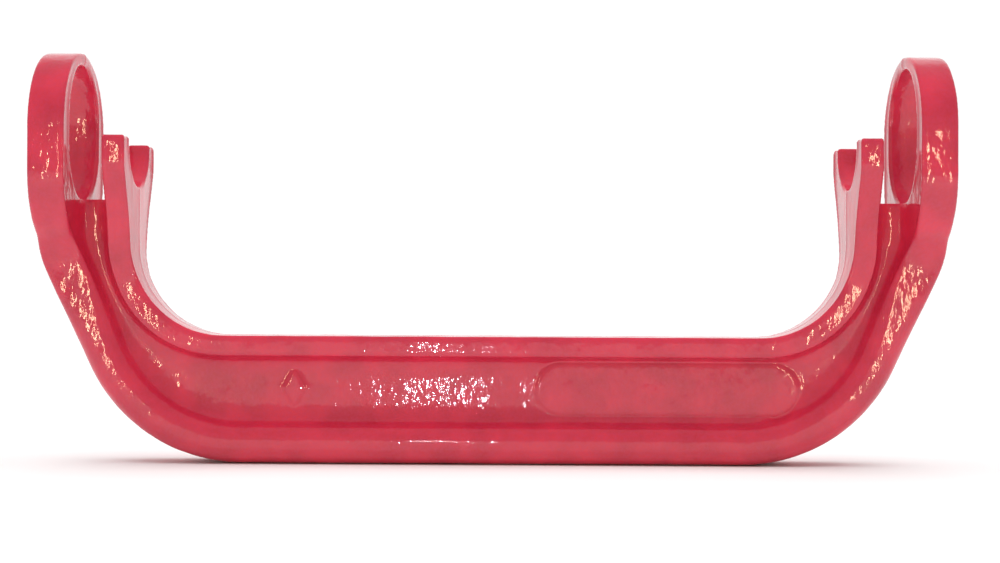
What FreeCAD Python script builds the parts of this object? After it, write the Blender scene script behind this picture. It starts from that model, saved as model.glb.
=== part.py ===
# Cast iron meter yoke bar.
# One U-shaped casting of H-section: a straight crossbar turned up into two arms.
# Each arm ends in an eye with a long upright hole outside and a notched saddle inside.
# The casting is written out as touching regions, so that every node is a simple shape.
# Frame: X along the bar, Z up, front (name pad side) towards -Y, underside on Z = 0.
import FreeCAD, Part
import math
import os

os.makedirs("parts", exist_ok=True)

# ---- driving dimensions, millimetres ----
overall_length = 355.0
eye_outer_radius = 30.5
eye_upper_centre_height = 131.8
eye_lower_centre_height = 114.0
eye_thickness = 14.6
eye_hole_radius = 21.5
eye_hole_upper_centre_height = 135.7
eye_edge_radius = 1.5

saddle_inside_x = 141.0
saddle_thickness = 9.4
saddle_top_height = 127.8
saddle_half_depth = 26.0
saddle_notch_radius = 17.0
saddle_notch_centre_height = 126.4
saddle_edge_radius = 1.2
saddle_corner_radius = 2.0

bar_top_height = 50.5
inner_corner_radius = 35.5
inner_flange_thickness = 8.4
inner_flange_half_depth = 12.0

outer_corner_radius = 66.0
outer_corner_centre_x = 98.5
outer_flange_thickness = 16.0
outer_flange_half_depth = 13.0
outer_flange_bulb_radius = 6.5
eye_neck_radius = 14.0
arm_lean_degrees = 24.0
arm_knee_radius = 24.0

web_half_thickness = 6.0
pocket_floor_height = 103.8
web_fillet_radius = 3.0

crossbar_end_x = 124.0
corner_top_height = 67.0
arm_start_height = 50.0
arm_top_height = 106.0
pocket_split_x = 156.5

pad_centre_x = 69.2
pad_centre_height = 29.8
pad_length = 103.2
pad_height = 20.4
pad_rise = 0.8

mark_centre_x = -77.8
mark_centre_height = 29.8
mark_width = 9.0
mark_height = 15.0
mark_rise = 0.8

# ---- derived dimensions ----
half_length = overall_length / 2
saddle_outside_x = saddle_inside_x + saddle_thickness
lean = math.radians(arm_lean_degrees)
eye_top_height = eye_upper_centre_height + eye_outer_radius
eye_hole_lower_centre_height = pocket_floor_height + eye_hole_radius
big = 400.0

vec = FreeCAD.Vector


def xz(x, z):
    return vec(x, 0.0, z)


def yz(y, z):
    return vec(0.0, y, z)


def rounded_outline(corners, place):
    """Closed wire through corners (a, b, radius), each corner rounded to its radius."""
    count = len(corners)
    points = [place(corner[0], corner[1]) for corner in corners]
    edges = []
    starts = []
    ends = []
    middles = []
    for index in range(count):
        here = points[index]
        back = (points[index - 1] - here).normalize()
        ahead = (points[(index + 1) % count] - here).normalize()
        radius = corners[index][2]
        if radius <= 0:
            starts.append(here)
            ends.append(here)
            middles.append(None)
            continue
        half_angle = back.getAngle(ahead) / 2
        reach = radius / math.tan(half_angle)
        bisector = (back + ahead).normalize()
        centre = here + bisector * (radius / math.sin(half_angle))
        starts.append(here + back * reach)
        ends.append(here + ahead * reach)
        middles.append(centre - bisector * radius)
    for index in range(count):
        if middles[index] is not None:
            edges.append(Part.Arc(starts[index], middles[index], ends[index]).toShape())
        after = (index + 1) % count
        if (starts[after] - ends[index]).Length > 1e-6:
            edges.append(Part.makeLine(ends[index], starts[after]))
    return Part.Wire(edges)


def slab_along_y(wire, half_depth):
    face = Part.Face(wire)
    face.translate(vec(0, -half_depth, 0))
    return face.extrude(vec(0, 2 * half_depth, 0))


def slab_along_x(wire, start, end):
    face = Part.Face(wire)
    face.translate(vec(start, 0, 0))
    return face.extrude(vec(end - start, 0, 0))


def leaning_corners(offset):
    """Corner at the foot of the leaning face and the knee above it, moved in by offset."""
    radius = outer_corner_radius - offset
    touch_x = outer_corner_centre_x + radius * math.cos(lean)
    touch_z = outer_corner_radius - radius * math.sin(lean)
    foot_x = touch_x - (touch_z - offset) * math.tan(lean)
    upright_x = half_length - min(offset, eye_thickness)
    knee_z = touch_z + (upright_x - touch_x) / math.tan(lean)
    return foot_x, upright_x, knee_z


def u_outline(offset, top):
    """Closed outline of everything inside the outer face, moved in by offset."""
    foot_x, upright_x, knee_z = leaning_corners(offset)
    radius = outer_corner_radius - offset
    knee = arm_knee_radius - offset / 2
    right = [
        (foot_x, offset, radius),
        (upright_x, knee_z, knee),
        (upright_x, top, 0),
    ]
    left = [(-x, z, r) for x, z, r in reversed(right)]
    return rounded_outline(right + left, xz)


def gap_outline(x, floor, radius, top):
    """Closed outline of the open space between the arms."""
    return rounded_outline([(x, floor, radius), (x, top, 0), (-x, top, 0), (-x, floor, radius)], xz)


def width_outline(lower, shoulder):
    """Depth outline of a flange: a strip that widens into the saddle."""
    right = [
        (lower, -big, 0),
        (lower, 72.0, 40.0),
        (16.0, 93.0, 60.0),
        (shoulder, 116.0, 9.0),
        (shoulder, saddle_top_height, saddle_corner_radius),
    ]
    left = [(-y, z, r) for y, z, r in reversed(right)]
    return rounded_outline(right + left, yz)


def upright_obround(radius, low_z, high_z, start, end):
    """Solid with round ends above and below, between two X planes."""
    length = end - start
    along = vec(1, 0, 0)
    low_round = Part.makeCylinder(radius, length, vec(start, 0, low_z), along)
    top_round = Part.makeCylinder(radius, length, vec(start, 0, high_z), along)
    middle = Part.makeBox(length, 2 * radius, high_z - low_z, vec(start, -radius, low_z))
    return low_round.fuse([top_round, middle]).removeSplitter()


def eye_body(start, end):
    """Obround eye plate joined to its strip, between two X planes."""
    strip = Part.makeBox(
        end - start,
        2 * outer_flange_half_depth,
        eye_lower_centre_height + big,
        vec(start, -outer_flange_half_depth, -big),
    )
    plate = upright_obround(
        eye_outer_radius, eye_lower_centre_height, eye_upper_centre_height, start, end
    )
    return soften_neck(strip.fuse(plate).removeSplitter())


def eye_holes():
    """The long upright hole through both eyes, its foot level with the pocket floor."""
    hole = upright_obround(
        eye_hole_radius,
        eye_hole_lower_centre_height,
        eye_hole_upper_centre_height,
        half_length - 2 * eye_thickness,
        half_length + eye_thickness,
    )
    return [hole, hole.mirror(vec(0, 0, 0), vec(1, 0, 0))]


def soften_neck(body):
    """Hollow blend where the round eye runs into the strip below it."""
    neck = []
    for edge in sharp_edges(body):
        box = edge.BoundBox
        on_strip = abs(abs(box.YMin) - outer_flange_half_depth) < 0.01
        if on_strip and box.XLength > 1 and box.ZMin > 0:
            neck.append(edge)
    return body.makeFillet(eye_neck_radius, neck)


def between(shape, low_x, high_x, low_z, high_z):
    """The part of a shape inside a box that is open along Y."""
    size = vec(high_x - low_x, 4 * eye_outer_radius, high_z - low_z)
    corner = vec(low_x, -2 * eye_outer_radius, low_z)
    return shape.common(Part.makeBox(size.x, size.y, size.z, corner))


def sharp_edges(shape):
    """Edges where two faces meet at an angle."""
    touching = {}
    for face in shape.Faces:
        for edge in face.Edges:
            touching.setdefault(edge.hashCode(), []).append((edge, face))
    found = []
    for pairs in touching.values():
        if len(pairs) != 2:
            continue
        edge = pairs[0][0]
        middle = edge.valueAt((edge.FirstParameter + edge.LastParameter) / 2)
        normals = []
        for _, face in pairs:
            u, v = face.Surface.parameter(middle)
            normals.append(face.normalAt(u, v))
        if normals[0].getAngle(normals[1]) > math.radians(15):
            found.append(edge)
    return found


def flange_radii(edge):
    """Rounding at both ends of an outer flange edge: full at the foot, small at the eye."""
    low = edge.BoundBox.ZMin
    high = edge.BoundBox.ZMax
    if high < arm_start_height:
        return outer_flange_bulb_radius, outer_flange_bulb_radius
    if low > arm_start_height:
        return eye_edge_radius, eye_edge_radius
    return outer_flange_bulb_radius, eye_edge_radius


def outer_flange():
    """Bottom flange, leaning arms and both eyes as one rounded ribbon."""
    solid = slab_along_y(u_outline(0.0, eye_top_height + 5), 60.0)
    hollow = slab_along_y(u_outline(outer_flange_thickness, eye_top_height + 20), 70.0)
    ribbon = solid.cut(hollow)
    ribbon = ribbon.common(eye_body(-half_length - 5, half_length + 5))
    ribbon = ribbon.cut(eye_holes()).removeSplitter()
    chosen = [edge.hashCode() for edge in sharp_edges(ribbon)]
    document = FreeCAD.newDocument("flange")
    base = document.addObject("Part::Feature", "ribbon")
    base.Shape = ribbon
    radii = []
    for index, edge in enumerate(base.Shape.Edges):
        if edge.hashCode() in chosen:
            first, last = flange_radii(edge)
            radii.append((index + 1, first, last))
    rounded = document.addObject("Part::Fillet", "rounded")
    rounded.Base = base
    rounded.Edges = radii
    document.recompute()
    # the tapering edges of the right arm run upwards, so the left arm is its mirror image
    right = between(rounded.Shape, 0, big, -1, 2 * eye_top_height)
    left = right.mirror(vec(0, 0, 0), vec(1, 0, 0))
    return right.fuse(left).removeSplitter()


def inner_flange():
    thickness = inner_flange_thickness
    outer = gap_outline(
        saddle_outside_x,
        bar_top_height - thickness,
        inner_corner_radius + thickness,
        saddle_top_height + 5,
    )
    inner = gap_outline(saddle_inside_x, bar_top_height, inner_corner_radius, saddle_top_height + 20)
    ribbon = slab_along_y(outer, 60.0).cut(slab_along_y(inner, 70.0))
    widths = slab_along_x(width_outline(inner_flange_half_depth, saddle_half_depth), -big, big)
    ribbon = ribbon.common(widths)
    notch = upright_obround(
        saddle_notch_radius, saddle_notch_centre_height, eye_top_height, -big, big
    )
    ribbon = ribbon.cut(notch)
    return ribbon.makeFillet(saddle_edge_radius, sharp_edges(ribbon))


def web():
    solid = slab_along_y(u_outline(outer_flange_thickness / 2, pocket_floor_height), web_half_thickness)
    inner = gap_outline(
        saddle_inside_x + inner_flange_thickness / 2,
        bar_top_height - inner_flange_thickness / 2,
        inner_corner_radius + inner_flange_thickness / 2,
        eye_top_height,
    )
    return solid.cut(slab_along_y(inner, 70.0))


def web_fillet_edges(shape):
    """Inside corners between the web and the underside of the inner flange."""
    underside = bar_top_height - inner_flange_thickness
    found = []
    for edge in sharp_edges(shape):
        box = edge.BoundBox
        on_web = abs(abs(box.Center.y) - web_half_thickness) < 0.05 and box.YLength < 0.05
        if on_web and abs(box.ZMin - underside) < 0.05:
            found.append(edge)
    return found


def casting():
    """The whole iron casting as one body."""
    whole = outer_flange().fuse([inner_flange(), web()])
    whole = whole.removeSplitter()
    return whole.makeFillet(web_fillet_radius, web_fillet_edges(whole))


def name_pad():
    """Blank raised pad with round ends on the front of the web."""
    reach = pad_length / 2
    half = pad_height / 2
    corners = [(reach, half, half - 0.1), (-reach, half, half - 0.1)]
    corners = corners + [(-reach, -half, half - 0.1), (reach, -half, half - 0.1)]
    placed = [(pad_centre_x + x, pad_centre_height + z, r) for x, z, r in corners]
    face = Part.Face(rounded_outline(placed, xz))
    face.translate(vec(0, -web_half_thickness, 0))
    pad = face.extrude(vec(0, -pad_rise, 0))
    rim = [edge for edge in sharp_edges(pad) if edge.BoundBox.YMax < -web_half_thickness - pad_rise / 2]
    return pad.makeFillet(pad_rise / 2, rim)


def size_mark():
    """Plain raised diamond where a size mark would be."""
    reach = mark_width / 2
    half = mark_height / 2
    corners = [(reach, 0, 0.8), (0, half, 0.8), (-reach, 0, 0.8), (0, -half, 0.8)]
    placed = [(mark_centre_x + x, mark_centre_height + z, r) for x, z, r in corners]
    face = Part.Face(rounded_outline(placed, xz))
    face.translate(vec(0, -web_half_thickness, 0))
    mark = face.extrude(vec(0, -mark_rise, 0))
    rim = [edge for edge in sharp_edges(mark) if edge.BoundBox.YMax < -web_half_thickness - mark_rise / 2]
    return mark.makeFillet(mark_rise / 4, rim)


def regions(whole):
    """The casting divided at named planes, keyed by node name."""
    parts = {"crossbar": between(whole, -crossbar_end_x, crossbar_end_x, -1, eye_top_height)}
    for name, side in (("left", -1), ("right", 1)):
        ranges = {
            "corner": (crossbar_end_x, big, -1, corner_top_height),
            "arm": (crossbar_end_x, big, corner_top_height, arm_top_height),
            "saddle": (crossbar_end_x, pocket_split_x, arm_top_height, eye_top_height + 1),
            "eye": (pocket_split_x, big, arm_top_height, eye_top_height + 1),
        }
        for kind, (near, far, low_z, high_z) in ranges.items():
            low_x, high_x = sorted((side * near, side * far))
            parts[name + "_" + kind] = between(whole, low_x, high_x, low_z, high_z)
    return parts


nodes = regions(casting())
nodes["name_pad"] = name_pad()
nodes["size_mark"] = size_mark()
for node, shape in nodes.items():
    shape.exportStep("parts/" + node + ".step")
    print(node, shape.isValid(), len(shape.Solids), round(shape.Volume))
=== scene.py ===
# Looks of the red enamelled cast iron meter yoke bar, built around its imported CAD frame.
import math

import bmesh
import bpy
import numpy as np
from mathutils import Matrix, Vector, noise


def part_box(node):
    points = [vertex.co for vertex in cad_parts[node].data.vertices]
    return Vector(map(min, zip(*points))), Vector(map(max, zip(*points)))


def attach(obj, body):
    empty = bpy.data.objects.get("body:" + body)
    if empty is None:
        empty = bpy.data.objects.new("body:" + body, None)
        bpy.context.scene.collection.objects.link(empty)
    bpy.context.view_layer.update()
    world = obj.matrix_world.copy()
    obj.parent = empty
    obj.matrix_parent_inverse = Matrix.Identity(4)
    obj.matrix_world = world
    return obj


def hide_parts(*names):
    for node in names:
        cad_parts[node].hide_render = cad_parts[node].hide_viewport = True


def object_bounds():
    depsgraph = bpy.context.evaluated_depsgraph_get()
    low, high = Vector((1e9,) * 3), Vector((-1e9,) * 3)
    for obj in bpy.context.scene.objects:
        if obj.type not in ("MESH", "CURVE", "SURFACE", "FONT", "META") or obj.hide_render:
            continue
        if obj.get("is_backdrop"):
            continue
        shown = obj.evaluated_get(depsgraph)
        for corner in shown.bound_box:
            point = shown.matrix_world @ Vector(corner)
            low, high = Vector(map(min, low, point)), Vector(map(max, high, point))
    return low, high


MM = 0.001
REGIONS = [
    "crossbar",
    "left_corner",
    "right_corner",
    "left_arm",
    "right_arm",
    "left_saddle",
    "right_saddle",
    "left_eye",
    "right_eye",
]
RAISED = ["name_pad", "size_mark"]
SKIN_STEP = 0.72 * MM
SMOOTH_PASSES = 5
POOL_PASSES = 90
RED_DEEP = (0.53, 0.013, 0.038, 1)
RED_BRIGHT = (0.69, 0.021, 0.054, 1)
RED_SPECK = (0.55, 0.030, 0.11, 1)
PEEL_DEPTH = 0.12 * MM
RUN_STRETCH = 0.55
GRAIN_DEPTH = 0.012 * MM
FRONT_LEVEL = 0.44
BACK_LEVEL = 1.05
LAMP_ROW_Y = -640 * MM
FLASH_X = -45 * MM
FLASH_HEIGHT = 3 * MM
FLASH_SIZE = 8 * MM
FLASH_POWER = 0.13
FLASH_COLOUR = (0.92, 0.90, 1.0)
STRIP_X = 300 * MM
STRIP_HEIGHT = 100 * MM
STRIP_WIDTH = 14 * MM
STRIP_LENGTH = 180 * MM
STRIP_POWER = 0.3
STRIP_COLOUR = (1.0, 0.74, 0.46)
SUN_POWER = 2.2
SUN_SPREAD_DEGREES = 60
FLOOR_REACH = 30.0
SENSOR_WIDTH = 36
FOCAL_OVER_WIDTH = 1.571
CAMERA_PLACE = (4.5 * MM, -626.6 * MM, 63.3 * MM)
CAMERA_YAW = -0.0023
CAMERA_PITCH = 0.0141
CAMERA_ROLL = 0.0052


def on_cut(face, cuts):
    """True for a face that lies in one of the planes where two regions meet."""
    end_x, low_z, high_z = cuts
    close = 0.01 * MM
    points = [v.co for v in face.verts]
    if all(abs(abs(p.x) - end_x) < close for p in points):
        return True
    for height in (low_z, high_z):
        if all(abs(p.z - height) < close and abs(p.x) > end_x for p in points):
            return True
    return False


def region_cuts():
    """Where the regions meet: the crossbar's end, and the foot and top of an arm."""
    low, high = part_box("right_arm")
    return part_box("crossbar")[1].x, low.z, high.z


def joined_casting(frame):
    """One open mesh of all regions without the faces where they meet, with both raised marks sunk in."""
    cuts = region_cuts()
    made = bmesh.new()
    for name in REGIONS:
        made.from_mesh(frame["nodes"][name].data)
    inner = [f for f in made.faces if on_cut(f, cuts)]
    bmesh.ops.delete(made, geom=inner, context="FACES")
    for name in RAISED:
        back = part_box(name)[1].y
        piece = bmesh.new()
        piece.from_mesh(frame["nodes"][name].data)
        for v in piece.verts:
            if v.co.y > back - 0.05 * MM:
                v.co.y = back + 2 * MM
        loose = bpy.data.meshes.new("sunk_" + name)
        piece.to_mesh(loose)
        piece.free()
        made.from_mesh(loose)
    bmesh.ops.remove_doubles(made, verts=made.verts, dist=0.005 * MM)
    mesh = bpy.data.meshes.new("joined")
    made.to_mesh(mesh)
    made.free()
    return mesh


def cast_skin(frame):
    """The joined casting remeshed evenly, with every edge softened as sand casting leaves it."""
    holder = bpy.data.objects.new("skin", joined_casting(frame))
    bpy.context.scene.collection.objects.link(holder)
    remesh = holder.modifiers.new("even", "REMESH")
    remesh.mode = "VOXEL"
    remesh.voxel_size = SKIN_STEP
    smooth = holder.modifiers.new("soft", "SMOOTH")
    smooth.factor = 0.5
    smooth.iterations = SMOOTH_PASSES
    graph = bpy.context.evaluated_depsgraph_get()
    mesh = bpy.data.meshes.new_from_object(holder.evaluated_get(graph))
    bpy.data.objects.remove(holder)
    return mesh


def vertex_arrays(mesh):
    """Places and normals of a mesh's vertices, one row each."""
    count = len(mesh.vertices)
    place = np.empty(count * 3)
    normal = np.empty(count * 3)
    mesh.vertices.foreach_get("co", place)
    mesh.vertex_normals.foreach_get("vector", normal)
    return place.reshape(-1, 3), normal.reshape(-1, 3)


def pool_in_corners(mesh):
    """Fills inside corners with a hollow blend, as casting fillets and thick enamel do."""
    place, _ = vertex_arrays(mesh)
    pairs = np.empty(len(mesh.edges) * 2, int)
    mesh.edges.foreach_get("vertices", pairs)
    first, second = pairs.reshape(-1, 2).T
    count = len(place)
    crisp = np.zeros(count, bool)
    for name in RAISED:
        in_front = place[:, 1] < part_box(name)[1].y + 1 * MM
        crisp |= over_mark(name, place[:, 0], place[:, 2], 1.2 * MM) & in_front
    share = np.bincount(first, minlength=count) + np.bincount(second, minlength=count)
    for index in range(POOL_PASSES):
        if index % 15 == 0:
            mesh.vertices.foreach_set("co", place.ravel())
            mesh.update()
            _, normal = vertex_arrays(mesh)
        pull = np.empty_like(place)
        for axis in range(3):
            total = np.bincount(first, place[second, axis], count)
            total += np.bincount(second, place[first, axis], count)
            pull[:, axis] = total / share - place[:, axis]
        hollow = (np.sum(pull * normal, axis=1) > 0) & ~crisp
        place[hollow] += 0.5 * pull[hollow]
    mesh.vertices.foreach_set("co", place.ravel())
    mesh.update()


def lumps(places, size, seed):
    """Smooth seeded noise from -1 to 1, with lumps of the given size drawn out downwards."""
    shift = Vector((seed * 7.3, seed * 3.1, seed * 5.7))
    drawn = places * (1, 1, RUN_STRETCH) / size
    return np.array([noise.noise(Vector(p) + shift) for p in drawn])


def weather(mesh):
    """Draft from the parting plane, casting lumps and the sag of a thick dipped coat."""
    place, normal = vertex_arrays(mesh)
    depth = np.abs(place[:, 1])
    sideways = np.clip(1 - np.abs(normal[:, 1]) * 2.5, 0, 1)
    draft = -0.035 * depth * sideways
    ridge = 0.16 * MM * np.exp(-((place[:, 1] / (0.7 * MM)) ** 2)) * sideways
    rough = 0.10 * MM * lumps(place, 11 * MM, 1) + 0.05 * MM * lumps(place, 4 * MM, 2)
    rough += 0.022 * MM * lumps(place, 1.7 * MM, 3)
    place += normal * (draft + ridge + rough)[:, None]
    mesh.vertices.foreach_set("co", place.ravel())
    mesh.update()


def over_mark(name, x, z, margin):
    """True where a point seen from the front lies on a raised mark or within a margin of it."""
    low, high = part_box(name)
    round_end = min(high.x - low.x, high.z - low.z) / 2
    along = np.maximum(np.abs(x - (low.x + high.x) / 2) - (high.x - low.x) / 2 + round_end, 0)
    across = np.maximum(np.abs(z - (low.z + high.z) / 2) - (high.z - low.z) / 2 + round_end, 0)
    return np.hypot(along, across) < round_end + margin


def face_regions(centres, cuts):
    """Name of the node that each face of the skin belongs to, from the faces' centres."""
    end_x, low_z, high_z = cuts
    x, y, z = centres.T
    gap = (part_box("right_saddle")[1].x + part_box("right_eye")[0].x) / 2
    names = np.where(np.abs(x) < gap, "saddle", "eye").astype("<U12")
    names = np.where(z < high_z, "arm", names)
    names = np.where(z < low_z, "corner", names)
    names = np.char.add(np.where(x < 0, "left_", "right_"), names)
    names = np.where(np.abs(x) < end_x, "crossbar", names)
    for name in RAISED:
        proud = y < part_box(name)[1].y - 0.3 * MM
        names = np.where(over_mark(name, x, z, 0.3 * MM) & proud, name, names)
    return names


def split_skin(mesh):
    """Cuts the skin along the region planes, keeping the whole skin's normals."""
    cuts = region_cuts()
    whole = bmesh.new()
    whole.from_mesh(mesh)
    planes = [((cuts[0], 0, 0), (1, 0, 0)), ((-cuts[0], 0, 0), (1, 0, 0))]
    planes += [((0, 0, cuts[1]), (0, 0, 1)), ((0, 0, cuts[2]), (0, 0, 1))]
    for point, direction in planes:
        geometry = whole.verts[:] + whole.edges[:] + whole.faces[:]
        bmesh.ops.bisect_plane(whole, geom=geometry, dist=1e-7, plane_co=point, plane_no=direction)
    whole.normal_update()
    whole.verts.index_update()
    places = np.array([v.co[:] for v in whole.verts])
    normals = np.array([v.normal[:] for v in whole.verts])
    faces = [[v.index for v in face.verts] for face in whole.faces]
    centres = np.array([face.calc_center_median()[:] for face in whole.faces])
    whole.free()
    groups = {}
    for name, face in zip(face_regions(centres, cuts).tolist(), faces):
        groups.setdefault(name, []).append(face)
    return groups, places, normals


def close_rims(made, cuts, floor_y):
    """Caps the section at each region plane, and backs a raised mark with a shallow flat-bottomed seat."""
    rim = [e for e in made.edges if e.is_boundary]
    end_x, low_z, high_z = cuts
    flat = []
    for edge in rim:
        a, b = (v.co for v in edge.verts)
        gaps = [max(abs(abs(a.x) - end_x), abs(abs(b.x) - end_x))]
        gaps += [max(abs(a.z - level), abs(b.z - level)) for level in (low_z, high_z)]
        if min(gaps) < 0.005 * MM:
            flat.append(edge)
    raised = [e for e in rim if e not in set(flat)]
    if flat:
        bmesh.ops.holes_fill(made, edges=flat, sides=0)
    if raised:
        grown = bmesh.ops.extrude_edge_only(made, edges=raised)["geom"]
        for item in grown:
            if isinstance(item, bmesh.types.BMVert):
                item.co.y = floor_y
        ends = [e for e in grown if isinstance(e, bmesh.types.BMEdge) and e.is_boundary]
        bmesh.ops.holes_fill(made, edges=ends, sides=0)


def piece_mesh(name, faces, places, normals):
    """One node's share of the skin, closed at its cuts, shaded as part of the whole."""
    used = sorted({i for face in faces for i in face})
    place_of = {old: new for new, old in enumerate(used)}
    mesh = bpy.data.meshes.new(name)
    mesh.from_pydata([places[i] for i in used], [], [[place_of[i] for i in f] for f in faces])
    closed = bmesh.new()
    closed.from_mesh(mesh)
    skin_faces = len(closed.faces)
    close_rims(closed, region_cuts(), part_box("name_pad")[1].y + 2 * MM)
    closed.to_mesh(mesh)
    closed.free()
    mesh.polygons.foreach_set("use_smooth", [True] * len(mesh.polygons))
    flat = np.empty(len(mesh.polygons) * 3)
    mesh.polygons.foreach_get("normal", flat)
    corner = np.empty(len(mesh.loops), int)
    mesh.loops.foreach_get("vertex_index", corner)
    sides = np.empty(len(mesh.polygons), int)
    mesh.polygons.foreach_get("loop_total", sides)
    owner = np.repeat(np.arange(len(mesh.polygons)), sides)
    skin_normals = np.zeros((len(mesh.vertices), 3))
    skin_normals[: len(used)] = normals[used]
    on_skin = (owner < skin_faces)[:, None]
    shading = np.where(on_skin, skin_normals[corner], flat.reshape(-1, 3)[owner])
    mesh.normals_split_custom_set(shading.tolist())
    return mesh


def shown_pieces(frame, material):
    """Every node's visible piece, cut from the one skin."""
    skin = cast_skin(frame)
    pool_in_corners(skin)
    weather(skin)
    groups, places, normals = split_skin(skin)
    for name in sorted(groups):
        mesh = piece_mesh("shown_" + name, groups[name], places, normals)
        mesh.materials.append(material)
        piece = bpy.data.objects.new("shown_" + name, mesh)
        bpy.context.scene.collection.objects.link(piece)
        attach(piece, "root")
        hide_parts(name)


def noise_node(tree, place, size, detail):
    """Noise texture whose lumps are about the given size."""
    made = tree.nodes.new("ShaderNodeTexNoise")
    made.inputs["Scale"].default_value = 1 / size
    made.inputs["Detail"].default_value = detail
    made.inputs["Roughness"].default_value = 0.5
    tree.links.new(place, made.inputs["Vector"])
    return made.outputs["Fac"]


def spread(tree, value, low, high, out_low, out_high):
    """Maps a value range onto another, held at its ends."""
    made = tree.nodes.new("ShaderNodeMapRange")
    made.inputs["From Min"].default_value = low
    made.inputs["From Max"].default_value = high
    made.inputs["To Min"].default_value = out_low
    made.inputs["To Max"].default_value = out_high
    tree.links.new(value, made.inputs["Value"])
    return made.outputs["Result"]


def blend_colours(tree, amount, first, second):
    """Mixes two colours, each a plain colour or another node's output."""
    made = tree.nodes.new("ShaderNodeMix")
    made.data_type = "RGBA"
    tree.links.new(amount, made.inputs["Factor"])
    for socket, colour in ((made.inputs[6], first), (made.inputs[7], second)):
        if isinstance(colour, tuple):
            socket.default_value = colour
        else:
            tree.links.new(colour, socket)
    return made.outputs[2]


def raised_by(tree, height, depth, base=None):
    """Bump of the given depth, laid over an earlier one."""
    made = tree.nodes.new("ShaderNodeBump")
    made.inputs["Distance"].default_value = depth
    tree.links.new(height, made.inputs["Height"])
    if base is not None:
        tree.links.new(base, made.inputs["Normal"])
    return made.outputs["Normal"]


def enamel():
    """Thick glossy red enamel over rough iron: mottled colour, orange peel and fine grain."""
    material = bpy.data.materials.new("red_enamel")
    material.use_nodes = True
    tree = material.node_tree
    shader = tree.nodes["Principled BSDF"]
    place = tree.nodes.new("ShaderNodeTexCoord").outputs["Object"]
    patches = spread(tree, noise_node(tree, place, 14 * MM, 3), 0.35, 0.65, 0, 1)
    specks = spread(tree, noise_node(tree, place, 1.1 * MM, 2), 0.3, 0.7, 0, 1)
    colour = blend_colours(tree, patches, RED_DEEP, RED_BRIGHT)
    colour = blend_colours(tree, spread(tree, specks, 0, 1, 0, 0.35), colour, RED_SPECK)
    tree.links.new(colour, shader.inputs["Base Color"])
    gloss = spread(tree, patches, 0, 1, 0.42, 0.52)
    tree.links.new(gloss, shader.inputs["Roughness"])
    shader.inputs["IOR"].default_value = 1.5
    shader.inputs["Specular IOR Level"].default_value = 0.25
    shader.inputs["Coat Weight"].default_value = 1.0
    shader.inputs["Coat Roughness"].default_value = 0.05
    drawn = tree.nodes.new("ShaderNodeMapping")
    drawn.inputs["Scale"].default_value = (1, 1, RUN_STRETCH)
    tree.links.new(place, drawn.inputs["Vector"])
    peel = raised_by(tree, noise_node(tree, drawn.outputs["Vector"], 2.4 * MM, 1.5), PEEL_DEPTH)
    grain = raised_by(tree, noise_node(tree, place, 0.7 * MM, 1), GRAIN_DEPTH, peel)
    tree.links.new(grain, shader.inputs["Normal"])
    tree.links.new(grain, shader.inputs["Coat Normal"])
    return material


def floor():
    """Plain pale floor under the object."""
    mesh = bpy.data.meshes.new("floor")
    reach = FLOOR_REACH
    corners = [(-reach, -reach, 0), (reach, -reach, 0), (reach, reach, 0), (-reach, reach, 0)]
    mesh.from_pydata(corners, [], [(0, 1, 2, 3)])
    ground = bpy.data.objects.new("floor", mesh)
    bpy.context.scene.collection.objects.link(ground)
    material = bpy.data.materials.new("pale_floor")
    material.use_nodes = True
    shader = material.node_tree.nodes["Principled BSDF"]
    shader.inputs["Base Color"].default_value = (0.93, 0.93, 0.93, 1)
    shader.inputs["Roughness"].default_value = 0.9
    mesh.materials.append(material)
    ground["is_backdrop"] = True


def studio():
    """White to the camera all round, but the light on the object is bright behind and dim in front."""
    world = bpy.data.worlds.new("studio")
    bpy.context.scene.world = world
    world.use_nodes = True
    tree = world.node_tree
    back = tree.nodes["Background"]
    way = tree.nodes.new("ShaderNodeTexCoord").outputs["Generated"]
    parts = tree.nodes.new("ShaderNodeSeparateXYZ")
    tree.links.new(way, parts.inputs["Vector"])
    level = spread(tree, parts.outputs["Y"], 0.38, 0.62, FRONT_LEVEL, BACK_LEVEL)
    seen = tree.nodes.new("ShaderNodeLightPath").outputs["Is Camera Ray"]
    strength = tree.nodes.new("ShaderNodeMath")
    strength.operation = "MAXIMUM"
    tree.links.new(level, strength.inputs[0])
    tree.links.new(spread(tree, seen, 0, 1, 0, BACK_LEVEL), strength.inputs[1])
    tree.links.new(strength.outputs[0], back.inputs["Strength"])
    back.inputs["Color"].default_value = (1, 1, 1, 1)
    bpy.context.scene.view_settings.view_transform = "Standard"


def lamp(name, place, aim, width, height, power, colour):
    """Rectangular soft light at a place, turned towards a point."""
    light = bpy.data.lights.new(name, "AREA")
    light.shape = "RECTANGLE"
    light.size = width
    light.size_y = height
    light.energy = power
    light.color = colour
    holder = bpy.data.objects.new(name, light)
    bpy.context.scene.collection.objects.link(holder)
    holder.location = place
    holder.rotation_euler = (Vector(aim) - Vector(place)).to_track_quat("-Z", "Y").to_euler()


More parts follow.
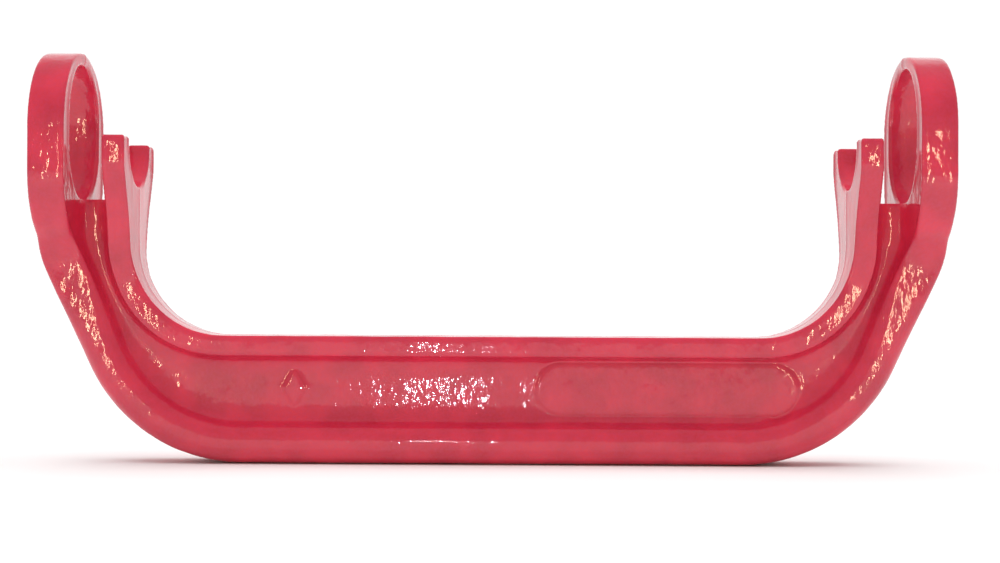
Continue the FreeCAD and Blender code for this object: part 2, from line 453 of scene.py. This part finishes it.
def lights():
    """A small cool flash near the middle, a tall warm strip on each side, and even light from above."""
    low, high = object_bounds()
    middle = (0, 0, (low.z + high.z) / 2)
    place = (FLASH_X, LAMP_ROW_Y, FLASH_HEIGHT)
    lamp("flash", place, middle, FLASH_SIZE, FLASH_SIZE, FLASH_POWER, FLASH_COLOUR)
    for name, side in (("left_strip", -1), ("right_strip", 1)):
        place = (side * STRIP_X, LAMP_ROW_Y, STRIP_HEIGHT)
        lamp(name, place, middle, STRIP_WIDTH, STRIP_LENGTH, STRIP_POWER, STRIP_COLOUR)
    above = bpy.data.lights.new("overhead", "SUN")
    above.energy = SUN_POWER
    above.angle = math.radians(SUN_SPREAD_DEGREES)
    holder = bpy.data.objects.new("overhead", above)
    holder.visible_glossy = False
    bpy.context.scene.collection.objects.link(holder)


def camera():
    """Low view from the front, slightly tilted up and rolled."""
    lens = bpy.data.cameras.new("camera")
    lens.sensor_width = SENSOR_WIDTH
    lens.lens = SENSOR_WIDTH * FOCAL_OVER_WIDTH
    lens.clip_start = 0.01
    eye = bpy.data.objects.new("camera", lens)
    bpy.context.scene.collection.objects.link(eye)
    turn = Matrix.Rotation(-CAMERA_YAW, 4, "Z")
    turn = turn @ Matrix.Rotation(math.pi / 2 + CAMERA_PITCH, 4, "X")
    turn = turn @ Matrix.Rotation(CAMERA_ROLL, 4, "Z")
    eye.matrix_world = Matrix.Translation(CAMERA_PLACE) @ turn
    bpy.context.scene.camera = eye


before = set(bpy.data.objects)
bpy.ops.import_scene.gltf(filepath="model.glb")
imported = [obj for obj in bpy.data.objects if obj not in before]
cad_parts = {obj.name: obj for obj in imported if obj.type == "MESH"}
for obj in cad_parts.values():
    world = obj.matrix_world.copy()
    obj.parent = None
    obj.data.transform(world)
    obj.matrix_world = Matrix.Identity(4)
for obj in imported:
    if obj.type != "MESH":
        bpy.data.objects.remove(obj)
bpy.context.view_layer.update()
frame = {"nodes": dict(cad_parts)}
shown_pieces(frame, enamel())
floor()
studio()
lights()
camera()
